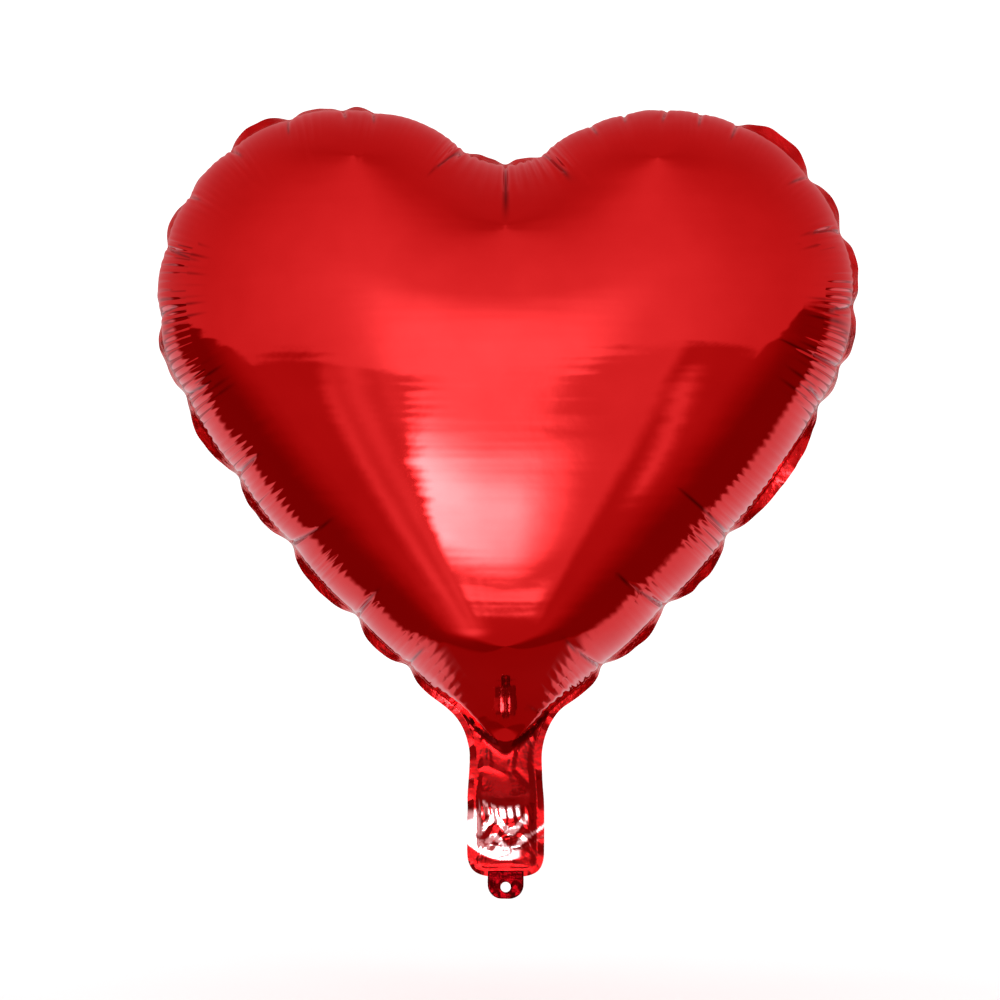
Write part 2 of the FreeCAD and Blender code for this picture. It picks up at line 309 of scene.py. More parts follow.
def dome_height(distance, z):
    """Height of the inflated film over the seam plane."""
    share = distance / DOME_REACH
    share = share * (1 + (DOME_REACH / MOST_DISTANCE - 1) * (distance / MOST_DISTANCE) ** 2)
    share = np.minimum(share, 1.0)
    dome = DOME_DEPTH * fullness(z) * np.sqrt(2 * share - share**2)
    soft = smoothstep(DOME_LEAVES_Z + 8, DOME_LEAVES_Z - 12, z)
    dome *= 1 - soft * (1 - smoothstep(-0.5, 6.0, distance))
    return dome + TAIL_GAP * (1 - smoothstep(FOLD_Z + 20, FOLD_Z + 50, z))


def creases():
    """Places of the creases along the seam, how far they run in, and the pillows' flanges."""
    places, reaches, shows = [0.0], [CLEFT_CREASE_REACH], []
    for length, reach, show in RIGHT_PILLOWS:
        places.append(places[-1] + length)
        reaches.append(reach)
        shows.append(show)
    left_places, left_reaches, left_shows = [], [], []
    place = seam["length"]
    for length, reach, show in LEFT_PILLOWS:
        place -= length
        left_places.append(place)
        left_reaches.append(reach)
        left_shows.append(show)
    places += left_places[::-1]
    reaches += left_reaches[::-1]
    shows += [1.0] + left_shows[::-1]
    return np.array(places), np.array(reaches), np.array(shows)


CREASES, CREASE_REACH, FLANGE_SHOW = creases()
CREASE_TILT = np.random.default_rng(5).uniform(-0.10, 0.10, len(CREASES))
CREASE_TILT[0] = 0.0         # the crease in the cleft runs straight down
CREASE_DEPTH = np.random.default_rng(6).uniform(1.3, 2.3, len(CREASES))


def in_pillow(along, inside):
    """Share of the way across a pillow, its length, its number, and offsets from all creases."""
    places = CREASES[None, :] + CREASE_TILT[None, :] * inside[:, None]
    offset = along[:, None] - places
    half = seam["length"] / 2
    offset = (offset + half) % seam["length"] - half
    before = np.where(offset >= 0, offset, 1e6)
    after = np.where(offset < 0, -offset, 1e6)
    number = before.argmin(1)
    length = before.min(1) + after.min(1)
    return before.min(1) / length, length, number, offset


def ripple_strength(along, points):
    """How strongly the film gathers along the seam: least on the lobes' tops, none in the tail."""
    across, z = np.abs(points[:, 0]), points[:, 1]
    strength = 1.0 - 0.62 * smoothstep(LOBE_Z + 20, LOBE_Z + 75, z)
    strength += 0.6 * smoothstep(45, 20, across) * smoothstep(LOBE_Z + 40, LOBE_Z + 60, z)
    strength *= smoothstep(FOLD_Z + 14, FOLD_Z + 40, z)
    return strength * (0.62 + 0.38 * wavy(along, 26, seam["length"], 11))


def gathers(along, inside, points, side):
    """Height of the fine ripples that run inwards from the seam."""
    length = seam["length"]
    shifted = along + 0.5 * wavy(along, 14, length, 21) + 0.008 * inside * wavy(along, 40, length, 22)
    narrow = 2 * np.abs(np.sin(math.pi * shifted / GATHER_PERIOD)) ** 0.9 - 1.1
    wide = 2 * np.abs(np.sin(math.pi * shifted / (2 * GATHER_PERIOD) + 0.6)) ** 0.9 - 1.1
    doubling = smoothstep(46, 80, inside)
    wave = narrow * (1 - 0.75 * doubling) + wide * 0.7 * doubling
    patchy = 1 + 0.35 * wavy(along + side * 37 * smoothstep(2, 20, inside), 17, length, 23)
    share, pillow, _, _ = in_pillow(along, inside)
    beside = np.exp(-np.minimum(share, 1 - share) * pillow / 13)
    fade = 1 - smoothstep(38, 84, inside + 9 * wavy(along, 24, length, 24 + side))
    rise = 0.35 + 0.65 * smoothstep(2, 26, inside)
    strength = rise * (0.58 + 0.85 * beside) * ripple_strength(along, points)
    return GATHER_HEIGHT * wave * np.clip(patchy, 0.15, 1.7) * fade * strength


def puffs(along, inside, points, side):
    """Outward movement of the film: pillows, creases and ripples together."""
    share, length, _, offset = in_pillow(along, inside)
    heart = smoothstep(NECK_FLAT_Z, NECK_FULL_Z, points[:, 1])
    bulge = 1 - np.abs(2 * share - 1) ** 2.5
    size = PILLOW_BULGE * np.minimum(length / PILLOW_LENGTH, 1.1) ** 0.7
    pillow = (size * bulge - 0.9) * (1 - smoothstep(8, 66, inside))
    width = CREASE_WIDTH + CREASE_WIDENING * inside
    ends = 1 - smoothstep(0.65, 1.0, inside[:, None] / (1.12 * CREASE_REACH[None, :]))
    valley = np.exp(-np.abs(offset / width[:, None]) ** 1.4)
    valley -= 0.45 * np.exp(-np.abs(offset / (2.6 * width[:, None])) ** 2)
    crease = (valley * ends * CREASE_DEPTH[None, :]).sum(1)
    return (pillow - crease) * heart + gathers(along, inside, points, side)


def painted_crease_shade(along, inside, points):
    """Painted shade along the film's creases, from 0 to 1, as thin lines that fade inwards, with a comb
    of painted shade lines beside them.
    """
    _, _, _, offset = in_pillow(along, inside)
    heart = smoothstep(NECK_FLAT_Z, NECK_FULL_Z, points[:, 1])
    ends = 1 - smoothstep(0.8, 1.1, inside[:, None] / (1.15 * CREASE_REACH[None, :]))
    # Painted shade: a thin dark line along each crease.
    line = np.exp(-(offset / 0.75) ** 2) * ends
    beside = np.exp(-(offset / 12) ** 2).max(1)
    # Painted shade: a comb of dark lines beside the creases, some way in from the seam.
    painted_comb_shade = smoothstep(0.72, 0.98, np.cos(2 * math.pi * along / COMB_PERIOD))
    painted_comb_shade *= smoothstep(0.25, 0.7, beside)
    painted_comb_shade *= smoothstep(38, 44, inside) * smoothstep(80, 62, inside)
    painted_comb_shade *= smoothstep(LOBE_Z - 70, LOBE_Z - 60, points[:, 1]) * (points[:, 1] < LOBE_Z + 26)
    return np.clip(0.9 * line.sum(1) * heart * smoothstep(0, 4, inside) + 0.75 * painted_comb_shade, 0, 1)


def painted_tail_highlights(points):
    """Painted highlights on the tail's film, from 0 to 1: a curved band, a fan, streaks."""
    across, z = points[:, 0], points[:, 1]
    curved = z - BAND_CURVE * across**2
    band = smoothstep(14.2, 15.2, curved) * smoothstep(22, 20.5, curved) * smoothstep(9, 2, across)
    fan = smoothstep(36.5, 37.5, curved) * smoothstep(43.0, 42.2, curved)
    fan *= smoothstep(-0.6, 0.1, np.sin(across * 1.5 + 0.25 * z + 0.4))
    fan *= smoothstep(11.5, 10, np.abs(across + 3))
    left = smoothstep(-12.5, -14.5, across) * smoothstep(26, 29, z) * smoothstep(42, 38, z)
    streaks = smoothstep(0.15, 0.5, np.sin(0.62 * z + 2.2 * np.sin(0.36 * across + 0.6)))
    streaks *= smoothstep(20, 23, z) * smoothstep(40, 37, z) * smoothstep(13, 11, np.abs(across + 1))
    right = smoothstep(0.5, 0.8, np.sin(1.1 * curved)) * smoothstep(19, 20, curved)
    right *= smoothstep(29, 27, curved) * smoothstep(6, 9, across)
    return np.clip(band + fan + left + streaks + 0.6 * right, 0, 1)


def short_folds(across, z, count, box, lengths, widths, heights, seed):
    """Sum of short straight ridges and valleys, scattered over a box (x, x, z, z)."""
    rng = np.random.default_rng(seed)
    relief = np.zeros(len(across))
    for _ in range(count):
        centre_x, centre_z = rng.uniform(box[0], box[1]), rng.uniform(box[2], box[3])
        angle = rng.uniform(0, math.pi)
        reach, width = rng.uniform(*lengths), rng.uniform(*widths)
        run = (across - centre_x) * math.cos(angle) + (z - centre_z) * math.sin(angle)
        off = -(across - centre_x) * math.sin(angle) + (z - centre_z) * math.cos(angle)
        fold = np.clip(1 - np.abs(off) / width, 0, 1) * np.clip(1 - (run / reach) ** 2, 0, 1)
        relief += rng.uniform(*heights) * width * fold
    return relief


def tail_folds(points, side):
    """Relief of the flat neck and tail: two soft slopes, a curved crease and crumpled film."""
    across, z = points[:, 0], points[:, 1]
    curved = z - BAND_CURVE * across**2
    levels = [0.0, 1.1, 0.3, 2.2, 1.3, 1.6, 4.0, 3.3, 1.5, 0.7, 0.3, 0.0]
    heights = [5.0, 8.5, 14.0, 21.0, 25.0, 30.0, 41.5, 43.5, 47.0, 56.0, 66.0, 110.0]
    slopes = np.interp(curved, heights, levels) * np.clip(1 - (across / 17.5) ** 2, 0, 1) ** 1.5
    crumple = short_folds(across, z, 34, (-10, 11, 21, 34), (3, 9), (1.0, 3.0), (-0.22, 0.30), 40 + side)
    loose = short_folds(across, z, 30, (-18, 18, 9, 62), (4, 14), (1.2, 3.4), (-0.07, 0.10), 44 + side)
    spokes = np.sin(across * 1.5 + 0.25 * z + side)
    spokes = 0.16 * spokes * smoothstep(31, 36, curved) * smoothstep(44, 40, curved)
    neck = short_folds(across, z, 90, (-44, 44, 58, 106), (4, 12), (1.0, 2.6), (-0.14, 0.18), 48 + side)
    outside = smoothstep(0.0, 0.18, np.abs(across) - (z - TIP_Z) * 0.9)
    neck *= smoothstep(52, 62, z) * np.where(z > TIP_Z, outside, 1.0)
    calm = smoothstep(DOME_LEAVES_Z + 2, DOME_LEAVES_Z - 14, z)
    return (slopes + crumple + loose + spokes + neck) * calm


def ring_angles():
    """Angle on the dome's ellipse of each ring, as a share of its deepest ring's."""
    fine = FINE_SHARE * (np.arange(FINE_RINGS + 1) / FINE_RINGS) ** 1.15
    coarse = FINE_SHARE + (1 - FINE_SHARE) * np.arange(1, COARSE_RINGS + 1) / COARSE_RINGS
    return np.concatenate([fine, coarse])


def ring_distance(kept, flat, inset, probe, probed):
    """How far a ring's points are inside the dome's edge; near the seam it grows as the inset."""
    near = inset * (1 + (probed - 1) * inset / probe)
    distance = np.where(inset < probe, near, 0.0)
    deep = (inset >= probe) | (seam["points"][kept, 1] < DOME_LEAVES_Z)
    if deep.any():
        distance[deep] = smooth_distance(flat[deep])
    return distance


def ring_height(distance, inset, z):
    """Height of a ring's film: it closes at the heart's seam and stays a ply apart in the tail."""
    heart = smoothstep(NECK_FLAT_Z, FOLD_Z + 50, z)
    closing = smoothstep(0.0, CLOSING_WIDTH, inset) ** 0.2
    laid = PLY_GAP / TAIL_GAP + (1 - PLY_GAP / TAIL_GAP) * smoothstep(0.0, LAYING_WIDTH, inset)
    return dome_height(distance, z) * (heart * closing + (1 - heart) * laid)


def ring_points(side):
    """All rings of one film: the seam first, then inwards; the coarse ones keep half the rays."""
    rays = np.arange(len(seam["points"]))
    deepest = np.arccos(1 - seam["depth"] / DOME_REACH)
    probe = np.minimum(PROBE_INSET, seam["depth"])
    probed = smooth_distance(seam["points"] + seam["inward"] * probe[:, None]) / probe
    rises = np.minimum(1, smoothstep(DOME_LEAVES_Z - 30, DOME_LEAVES_Z, seam["points"][:, 1]) + 0.05)
    rings, painted_shade_lines = [], []
    for number, share in enumerate(ring_angles()):
        kept = rays if number <= FINE_RINGS else rays[::2]
        angle = deepest[kept] * share
        inset = DOME_REACH * (1 - np.cos(angle))
        flat = seam["points"][kept] + seam["inward"][kept] * inset[:, None]
        distance = ring_distance(kept, flat, inset, probe[kept], probed[kept])
        height = ring_height(distance, inset, flat[:, 1])
        inside = angle * (DOME_DEPTH + DOME_REACH * 0.1)
        out = (DOME_DEPTH * fullness(flat[:, 1]) * rises[kept] + 1.0) * np.cos(angle)
        up = DOME_REACH * np.sin(angle)
        norm = np.hypot(out, up)
        move = puffs(seam["along"][kept], inside, flat, side) * (1 - smoothstep(0.8, 1.0, share))
        folds = tail_folds(flat, side) * smoothstep(0.0, 0.8, inset / np.maximum(probe[kept], 0.1))
        place = np.empty((len(kept), 3))
        place[:, [0, 2]] = flat - seam["inward"][kept] * (move * out / norm)[:, None]
        place[:, 1] = side * (height + move * up / norm + folds)
        rings.append(place)
        # Painted shade along the creases, kept for each ring's points.
        painted_shade_lines.append(painted_crease_shade(seam["along"][kept], inside, flat))
    return rings, np.concatenate(painted_shade_lines)


def seam_ring():
    """The seam itself, moved by the pillows, creases and ripples; both films share it."""
    zero = np.zeros(len(seam["along"]))
    move = puffs(seam["along"], zero, seam["points"], 0)
    place = np.zeros((len(zero), 3))
    place[:, [0, 2]] = seam["points"] - seam["inward"] * move[:, None]
    return place


def flange_points(side):
    """Rings of the sealed strip outside the seam, outermost first."""
    along, points = seam["along"], seam["points"]
    start = seam_ring()
    smooth = start.copy()
    smooth[:, [0, 2]] = loop_blur(start[:, [0, 2]], 5.0)
    share, _, pillow, _ = in_pillow(along, np.zeros(len(along)))
    heart = smoothstep(FLANGE_NARROW_Z, FLANGE_WIDE_Z, points[:, 1])
    show = FLANGE_SHOW[np.minimum(pillow, len(FLANGE_SHOW) - 1)]
    bulge = 1 - np.abs(2 * share - 1) ** 3.0
    outwards = loop_blur(show * bulge, 3.0) * heart + (1 - heart)
    outwards = np.clip(outwards * (1 + 0.04 * wavy(along, 13, seam["length"], 51)), 0, 1)
    lean = np.arccos(outwards)
    width = FLANGE_WIDTH * heart + TAIL_SEAM_INSET * (1 - heart)
    crumple = 0.15 * wavy(along, 9, seam["length"], 52) + 0.3 * wavy(along, 22, seam["length"], 53)
    rings = []
    for number in range(FLANGE_RINGS, 0, -1):
        part = number / FLANGE_RINGS
        wave = crumple * part * (0.15 + 0.85 * heart)
        wave += 0.07 * heart * math.sin(2.4 * number) * wavy(along, 5.5, seam["length"], 54)
        out = width * part * np.cos(lean) - (wave + side * PLY_GAP) * np.sin(lean)
        back = width * part * np.sin(lean) + wave * np.cos(lean)
        place = start * (1 - part) + smooth * part
        place[:, [0, 2]] -= seam["inward"] * out[:, None]
        place[:, 1] += back + side * PLY_GAP * np.cos(lean)
        rings.append(place)
    return rings


def strips(outer_start, outer_count, inner_start, inner_count):
    """Triangles between two rings; the inner one has as many points or half of them."""
    outer = outer_start + np.arange(outer_count)
    after = outer_start + (np.arange(outer_count) + 1) % outer_count
    if inner_count == outer_count:
        inner = inner_start + np.arange(inner_count)
        inner_after = inner_start + (np.arange(inner_count) + 1) % inner_count
        first = np.stack([after, outer, inner], 1)
        second = np.stack([after, inner, inner_after], 1)
        return np.concatenate([first, second])
    even, odd, next_even = outer[::2], after[::2], after[1::2]
    inner = inner_start + np.arange(inner_count)
    inner_after = inner_start + (np.arange(inner_count) + 1) % inner_count
    return np.concatenate([
        np.stack([odd, even, inner], 1),
        np.stack([odd, inner, inner_after], 1),
        np.stack([next_even, odd, inner_after], 1),
    ])


def grid_faces(rows, columns, closed):
    """Four-sided faces of a grid of points, row by row; a closed grid joins its last column."""
    faces = []
    for row in range(rows - 1):
        for column in range(columns if closed else columns - 1):
            corner = row * columns + column
            after = row * columns + (column + 1) % columns
            faces.append([corner, after, after + columns, corner + columns])
    return faces


def hexagonal(low, high, step):
    """Points of a hexagonal grid over a box."""
    rows = np.arange(low[1], high[1], step * math.sqrt(3) / 2)
    columns = np.arange(low[0], high[0], step)
    grid = [[x + step / 2 * (row % 2), z] for row, z in enumerate(rows) for x in columns]
    return np.array(grid)


def away_from(points, loop, gap):
    """The points that are further than gap from every point of the loop."""
    nearest = np.full(len(points), 1e9)
    for start in range(0, len(points), 4000):
        part = points[start:start + 4000]
        apart = np.hypot(part[:, None, 0] - loop[None, :, 0], part[:, None, 1] - loop[None, :, 1])
        nearest[start:start + 4000] = apart.min(1)
    return points[nearest > gap]


def middle_points(loop):
    """Flat places inside the last ring, close together in the tail."""
    split = FOLD_Z + 46
    heart = hexagonal((-panel_high.x, split), (panel_high.x, panel_high.z), MIDDLE_STEP)
    tail = hexagonal((-50, 0), (50, split), TAIL_STEP)
    heart = away_from(heart[inside_loop(heart, loop)], loop, 0.7 * MIDDLE_STEP)
    tail = away_from(tail[inside_loop(tail, loop)], loop, 0.7 * TAIL_STEP)
    return np.concatenate([heart, tail])


def ring_faces(layers):
    """Triangles between each ring and the next, as one array for each pair."""
    starts = np.cumsum([0] + [len(layer) for layer in layers])
    pairs = zip(layers[:-1], layers[1:], starts[:-1], starts[1:])
    return [strips(start, len(outer), after, len(inner)) for outer, inner, start, after in pairs]


def middle_faces(loop, middle, start):
    """Triangles that fill the last ring, whose first point has the number start."""
    flat = [Vector(point) for point in np.concatenate([loop, middle])]
    filled = delaunay_2d_cdt(flat, [], [list(range(len(loop)))[::-1]], 1, 1e-6)
    origin = [ids[0] for ids in filled[3]]
    return start + np.array([[origin[corner] for corner in face] for face in filled[2]])


def film_parts(places, faces, flange_count):
    """Material number of each triangle: 0 on the heart, 1 on its sealed strip, 2 in the tail."""
    centres = places[faces].mean(1)
    numbers = np.zeros(len(faces), np.int32)
    numbers[(np.abs(centres[:, 1]) < FLAT_DEPTH) & (centres[:, 2] < DOME_LEAVES_Z - 8)] = 2
    numbers[:flange_count][centres[:flange_count, 2] > FLANGE_NARROW_Z] = 1
    return numbers


def film(name, side):
    """One foil film, from the flange's edge to the middle of the dome and the tail."""
    flange = flange_points(side)
    rings, painted_shade_lines = ring_points(side)
    rings[0] = seam_ring()
    rings[0][:, 1] = side * PLY_GAP * smoothstep(FOLD_Z + 50, NECK_FLAT_Z, rings[0][:, 2])
    layers = flange + rings
    loop = rings[-1][:, [0, 2]]
    middle = middle_points(loop)
    height = dome_height(smooth_distance(middle), middle[:, 1]) + tail_folds(middle, side)
    raised = np.stack([middle[:, 0], side * height, middle[:, 1]], 1)
    places = np.concatenate(layers + [raised])
    between = ring_faces(layers)
    inner = middle_faces(loop, middle, sum(len(layer) for layer in layers[:-1]))
    a, b, c = (places[inner[:, corner]] for corner in range(3))
    if np.cross(b - a, c - a)[:, 1].sum() > 0:
        inner = inner[:, ::-1]
    faces = np.concatenate(between + [inner])
    if side == REAR:
        faces = faces[:, ::-1]
    materials = (foil_material(), flange_material(), tail_material())
    piece = smooth_piece(name, places, faces.tolist(), *materials)
    # Painted shade along the creases, as a point attribute that darkens the foil's colour.
    crease = np.zeros(len(places))
    first = sum(len(layer) for layer in flange)
    crease[first:first + len(painted_shade_lines)] = painted_shade_lines
    set_attribute(piece.data, "crease", "FLOAT", "value", crease)
    # Painted highlights on the tail: pale patches mixed into its colour below the fold.
    painted_highlight = painted_tail_highlights(places[:, [0, 2]]) * (places[:, 2] < FOLD_Z)
    set_attribute(piece.data, "painted_highlight", "FLOAT", "value", painted_highlight)
    flange_count = sum(len(part) for part in between[:FLANGE_RINGS])
    numbers = film_parts(places, faces, flange_count)
    piece.data.polygons.foreach_set("material_index", numbers)
    piece.data.update()
    return piece


def new_object(name, points, faces, *materials):
    """An object made of points in metres and faces, with its materials in order."""
    mesh = bpy.data.meshes.new(name)
    mesh.from_pydata(points, [], faces)
    for material in materials:
        mesh.materials.append(material)
    mesh.update()
    made = bpy.data.objects.new(name, mesh)
    bpy.context.scene.collection.objects.link(made)
    return made


def smooth_piece(name, places, faces, *materials):
    """A smoothly shaded piece of the balloon, from points in millimetres."""
    piece = new_object(name, (places * MM).tolist(), faces, *materials)
    piece.data.polygons.foreach_set("use_smooth", [True] * len(faces))
    return piece


def set_attribute(mesh, name, kind, field, values):
    """A value or colour for every point of a mesh, for its material to read."""
    layer = mesh.attributes.new(name, kind, "POINT")
    layer.data.foreach_set(field, values.ravel().astype(np.float32))


def new_material(name):
    """A new material and its principled shader; or the one made before, and None."""
    material = bpy.data.materials.get(name)
    if material:
        return material, None
    material = bpy.data.materials.new(name)
    material.use_nodes = True
    return material, material.node_tree.nodes["Principled BSDF"]


def noise(material, scale, detail, stretch=(1.0, 1.0, 1.0)):
    """Noise texture in the object's own coordinates; scale is in cycles per metre."""
    nodes, links = material.node_tree.nodes, material.node_tree.links
    place = nodes.new("ShaderNodeTexCoord")
    mapping = nodes.new("ShaderNodeMapping")
    mapping.inputs["Scale"].default_value = stretch
    texture = nodes.new("ShaderNodeTexNoise")
    texture.inputs["Scale"].default_value = scale
    texture.inputs["Detail"].default_value = detail
    links.new(place.outputs["Object"], mapping.inputs["Vector"])
    links.new(mapping.outputs["Vector"], texture.inputs["Vector"])
    return texture.outputs["Fac"]


def ranged(material, source, low, high):
    """A socket's 0.3 to 0.7 spread over low to high."""
    node = material.node_tree.nodes.new("ShaderNodeMapRange")
    node.inputs["From Min"].default_value = 0.3
    node.inputs["From Max"].default_value = 0.7
    node.inputs["To Min"].default_value = low
    node.inputs["To Max"].default_value = high
    material.node_tree.links.new(source, node.inputs["Value"])
    return node.outputs["Result"]


def tinted(material, source, first, second):
    """Colour that goes from first to second as the source goes from 0.3 to 0.7."""
    ramp = material.node_tree.nodes.new("ShaderNodeValToRGB")
    ramp.color_ramp.elements[0].position = 0.3
    ramp.color_ramp.elements[0].color = (*first, 1.0)
    ramp.color_ramp.elements[1].position = 0.7
    ramp.color_ramp.elements[1].color = (*second, 1.0)
    material.node_tree.links.new(source, ramp.inputs["Fac"])
    return ramp.outputs["Color"]


def mixed(material, attribute, colour, other):
    """A colour that turns into another where the mesh's attribute goes from 0 to 1."""
    nodes, links = material.node_tree.nodes, material.node_tree.links
    reader = nodes.new("ShaderNodeAttribute")
    reader.attribute_name = attribute
    mix = nodes.new("ShaderNodeMixRGB")
    mix.inputs["Color2"].default_value = (*other, 1.0)
    links.new(reader.outputs["Fac"], mix.inputs["Fac"])
    links.new(colour, mix.inputs["Color1"])
    return mix.outputs["Color"]


def bumped(material, shader, layers):
    """Chain of bumps, each a height source and its depth in metres."""
    nodes, links = material.node_tree.nodes, material.node_tree.links
    previous = None
    for source, depth in layers:
        bump = nodes.new("ShaderNodeBump")
        bump.inputs["Distance"].default_value = depth
        links.new(source, bump.inputs["Height"])
        if previous:
            links.new(previous, bump.inputs["Normal"])
        previous = bump.outputs["Normal"]
    links.new(previous, shader.inputs["Normal"])


def foil_material():
    """Mirror-bright red metallised film with long faint waves and slight haze, and painted shade along
    its creases.
    """
    material, shader = new_material("red_foil_film")
    if shader is None:
        return material
    links = material.node_tree.links
    colour = tinted(material, noise(material, 30, 3), (0.77, 0.030, 0.032), (0.83, 0.037, 0.039))
    # Painted shade: the colour turns near black along the creases, where the crease attribute is 1.
    colour = mixed(material, "crease", colour, (0.17, 0.0005, 0.001))
    links.new(colour, shader.inputs["Base Color"])
    shader.inputs["Metallic"].default_value = 1.0
    shader.inputs["Specular Tint"].default_value = (1.0, 0.93, 0.98, 1.0)
    rough = ranged(material, noise(material, 55, 4), 0.035, 0.065)
    links.new(rough, shader.inputs["Roughness"])
    waves = noise(material, 12, 2, (0.45, 0.45, 5.0))
    dents = noise(material, 90, 2)
    bumped(material, shader, [(waves, 0.00036), (dents, 0.00004)])
    return material


def tail_material():
    """The flat film of the neck and tail: painted shade makes it darker than the heart's same film, and
    painted highlights lie on it as pale patches.
    """
    material, shader = new_material("tail_foil_film")
    if shader is None:
        return material
    links = material.node_tree.links
    # Painted shade: a darker red than the heart's film.
    colour = tinted(material, noise(material, 60, 3), (0.17, 0.0005, 0.001), (0.28, 0.001, 0.002))
    # Painted highlights: pale pink patches where the tail's highlight attribute is 1.
    colour = mixed(material, "painted_highlight", colour, (0.88, 0.62, 0.64))
    links.new(colour, shader.inputs["Base Color"])
    shader.inputs["Metallic"].default_value = 1.0
    shader.inputs["Specular Tint"].default_value = (1.0, 0.93, 0.98, 1.0)
    shader.inputs["Coat Weight"].default_value = 0.08
    rough = ranged(material, noise(material, 90, 4), 0.03, 0.08)
    links.new(rough, shader.inputs["Roughness"])
    bumped(material, shader, [(noise(material, 170, 2), 0.00022)])
    return material


def flange_material():
    """The sealed strip: the heart's film, darker and dulled by the heat seal's fine crimp."""
    material, shader = new_material("sealed_flange_film")
    if shader is None:
        return material
    links = material.node_tree.links
    colour = tinted(material, noise(material, 120, 4), (0.55, 0.006, 0.008), (0.80, 0.014, 0.018))
    links.new(colour, shader.inputs["Base Color"])
    shader.inputs["Metallic"].default_value = 1.0
    shader.inputs["Coat Weight"].default_value = 0.25
    rough = ranged(material, noise(material, 200, 3), 0.06, 0.16)
    links.new(rough, shader.inputs["Roughness"])
    bumped(material, shader, [(noise(material, 240, 3), 0.0009), (noise(material, 900, 2), 0.0001)])
    return material


def tab_material():
    """The tab's doubled film, slightly dull, with painted shade: a near-black red."""
    material, shader = new_material("tab_film")
    if shader is None:
        return material
    links = material.node_tree.links
    # Painted shade: a near-black red, darker than the heart's same film.
    colour = tinted(material, noise(material, 160, 4), (0.045, 0.0003, 0.0008), (0.11, 0.0004, 0.0015))
    links.new(colour, shader.inputs["Base Color"])
    shader.inputs["Metallic"].default_value = 1.0
    rough = ranged(material, noise(material, 240, 3), 0.12, 0.24)
    links.new(rough, shader.inputs["Roughness"])
    bumped(material, shader, [(noise(material, 220, 3), 0.0009)])
    return material


def valve_material():
    """Clear polyethylene film with faint cloudiness."""
    material, shader = new_material("valve_film_clear")
    if shader is None:
        return material
    links = material.node_tree.links
    cloud = tinted(material, noise(material, 70, 3), (0.80, 0.82, 0.84), (0.92, 0.93, 0.94))
    links.new(cloud, shader.inputs["Base Color"])
    shader.inputs["Alpha"].default_value = 0.55
    rough = ranged(material, noise(material, 90, 3), 0.16, 0.3)
    links.new(rough, shader.inputs["Roughness"])
    bumped(material, shader, [(noise(material, 180, 2), 0.0004)])
    return material


def floor_material():
    """Plain pale floor, a little mottled."""
    material, shader = new_material("pale_floor")
    if shader is None:
        return material
    colour = tinted(material, noise(material, 3, 2), (0.93, 0.93, 0.93), (0.96, 0.96, 0.96))
    material.node_tree.links.new(colour, shader.inputs["Base Color"])
    shader.inputs["Roughness"].default_value = 0.7
    return material


def tie_tab():
    """The tab under the tail with the tie hole, a thin doubled film with rounded corners."""
    half, low, high, corner = 9.5, tail_low.z, SHOULDER_Z + 3.0, 7.5
    hole_radius, thick = 2.75, 0.09
    step, rim = 0.7, 0.5
    right = np.concatenate([
        arc((half - corner, low + corner), corner, -math.pi / 2, 0)[::4],
        np.array([[half, high]]),
    ])
    outline, _ = resampled(both_halves(right), 90)
    hole = arc((0, 0), hole_radius, 0, 2 * math.pi)[:-1:2]
    grid = hexagonal((-half, low), (half, high), step)
    grid = away_from(grid[inside_loop(grid, outline)], outline, rim)
    grid = grid[np.hypot(*grid.T) > hole_radius + rim]
    flat = [Vector(point) for point in np.concatenate([outline, hole, grid])]
    first = len(outline)
    around = [(i, (i + 1) % first) for i in range(first)]
    ring = [(first + i, first + (i + 1) % len(hole)) for i in range(len(hole))]
    filled = delaunay_2d_cdt(flat, around + ring, [], 0, 1e-6)
    spots = np.array([[point.x, point.y] for point in filled[0]])
    faces = []
    for face in filled[2]:
        centre = spots[list(face)].mean(0)
        if np.hypot(*centre) > hole_radius * 0.99 and inside_loop(centre[None], outline)[0]:
            faces.append(list(face))
    wave = 0.35 * np.sin(spots[:, 0] * 0.9) * np.sin(spots[:, 1] * 0.55 + 1.0)
    wave = wave * smoothstep(SHOULDER_Z, SHOULDER_Z - 4, spots[:, 1])
    places = np.stack([spots[:, 0], wave - thick, spots[:, 1]], 1)
    piece = smooth_piece("tie_tab", places, faces, tab_material())
    thickness = piece.modifiers.new("plies", "SOLIDIFY")
    thickness.thickness = 2 * thick * MM
    thickness.offset = 0.0
    return piece


def valve_ply(name, side):
    """One ply of the valve strip, from its mouth in the tail to its end inside the heart."""
    low, high, half = inlet_low.z, sleeve_high.z, inlet_high.x
    columns = np.linspace(-half, half, 17)
    rows = np.linspace(low, high, 90)
    across, z = np.meshgrid(columns, rows)
    edge = 1 - (across / half) ** 4
    inside = smoothstep(FOLD_Z + 10, FOLD_Z + 50, z)
    waves = 0.9 * np.sin(z * 0.21 + 0.15 * across) * inside
    y = side * (0.06 + 0.10 * edge) + waves
    places = np.stack([across.ravel(), y.ravel(), z.ravel()], 1)
    faces = grid_faces(len(rows), len(columns), closed=False)
    if side == REAR:
        faces = [face[::-1] for face in faces]
    return smooth_piece(name, places, faces, valve_material())


# The studio as the balloon sees it. Directions are in degrees: azimuth 0 is where the camera
# stands and grows to the right, and elevation is above level. Brightness 1 is plain white.

CEILING_EDGE = 4.0           # lowest elevation of the ceiling, straight ahead
CEILING_SLOPE_LEFT = 0.31    # fall of that edge for each degree to the left
CEILING_SLOPE_RIGHT = 0.35
BEHIND_AZIMUTH = 124         # where the part behind the balloon starts, on the left
BEHIND_SHIFT = 10            # and how much sooner it starts on the right
SILL = -47.5                 # elevation of the window's sill


